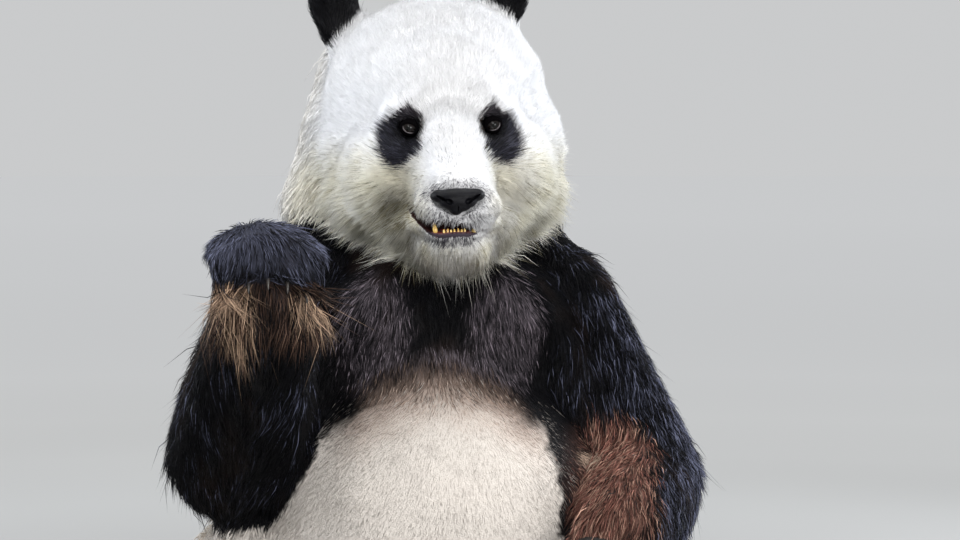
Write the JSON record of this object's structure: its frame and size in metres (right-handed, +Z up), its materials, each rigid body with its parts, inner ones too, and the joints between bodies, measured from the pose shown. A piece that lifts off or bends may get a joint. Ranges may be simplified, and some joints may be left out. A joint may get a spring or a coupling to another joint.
{
  "type": "giant panda model",
  "caption": "Life-size giant panda sitting upright on its rump, one forepaw raised beside the mouth, mouth a little open, hind legs spread.",
  "frame": {"origin": "middle of the bounding box's footprint, on the floor the animal sits on", "axes": "+Z up, the animal faces -Y, and its left side is +X"},
  "size_m": [0.8166, 0.8816, 1.039],
  "materials": {
    "white_fur": "soft cream-white fur",
    "black_fur": "soft brownish-black fur",
    "nose_leather": "damp black nose skin",
    "pad_leather": "dry dark paw pad skin",
    "eye": "glossy dark brown eye",
    "claw_horn": "satin dark horn"
  },
  "bodies": {
    "root": {"head": "white_fur", "lower_jaw": "white_fur", "neck": "white_fur", "abdomen": "white_fur", "tail": "white_fur", "chest": "black_fur", "ear_left": "black_fur", "ear_right": "black_fur", "upper_arm_right": "black_fur", "forearm_right": "black_fur", "upper_arm_left": "black_fur", "forearm_left": "black_fur", "thigh_left": "black_fur", "shin_left": "black_fur", "thigh_right": "black_fur", "shin_right": "black_fur", "paw_fore_right": "black_fur", "paw_fore_left": "black_fur", "paw_hind_left": "black_fur", "paw_hind_right": "black_fur", "nose": "nose_leather", "pad_wrist_right": "pad_leather", "pad_fore_left": "pad_leather", "pad_wrist_left": "pad_leather", "pad_hind_left": "pad_leather", "pad_heel_left": "pad_leather", "pad_hind_right": "pad_leather", "pad_heel_right": "pad_leather", "eye_left": "eye", "eye_right": "eye", "claw_fore_right_1": "claw_horn", "claw_fore_right_2": "claw_horn", "claw_fore_right_3": "claw_horn", "claw_fore_right_4": "claw_horn", "claw_fore_right_5": "claw_horn", "claw_fore_left_1": "claw_horn", "claw_fore_left_2": "claw_horn", "claw_fore_left_3": "claw_horn", "claw_fore_left_4": "claw_horn", "claw_fore_left_5": "claw_horn", "claw_hind_left_1": "claw_horn", "claw_hind_left_2": "claw_horn", "claw_hind_left_3": "claw_horn", "claw_hind_left_4": "claw_horn", "claw_hind_left_5": "claw_horn", "claw_hind_right_1": "claw_horn", "claw_hind_right_2": "claw_horn", "claw_hind_right_3": "claw_horn", "claw_hind_right_4": "claw_horn", "claw_hind_right_5": "claw_horn"}
  },
  "joints": []
}
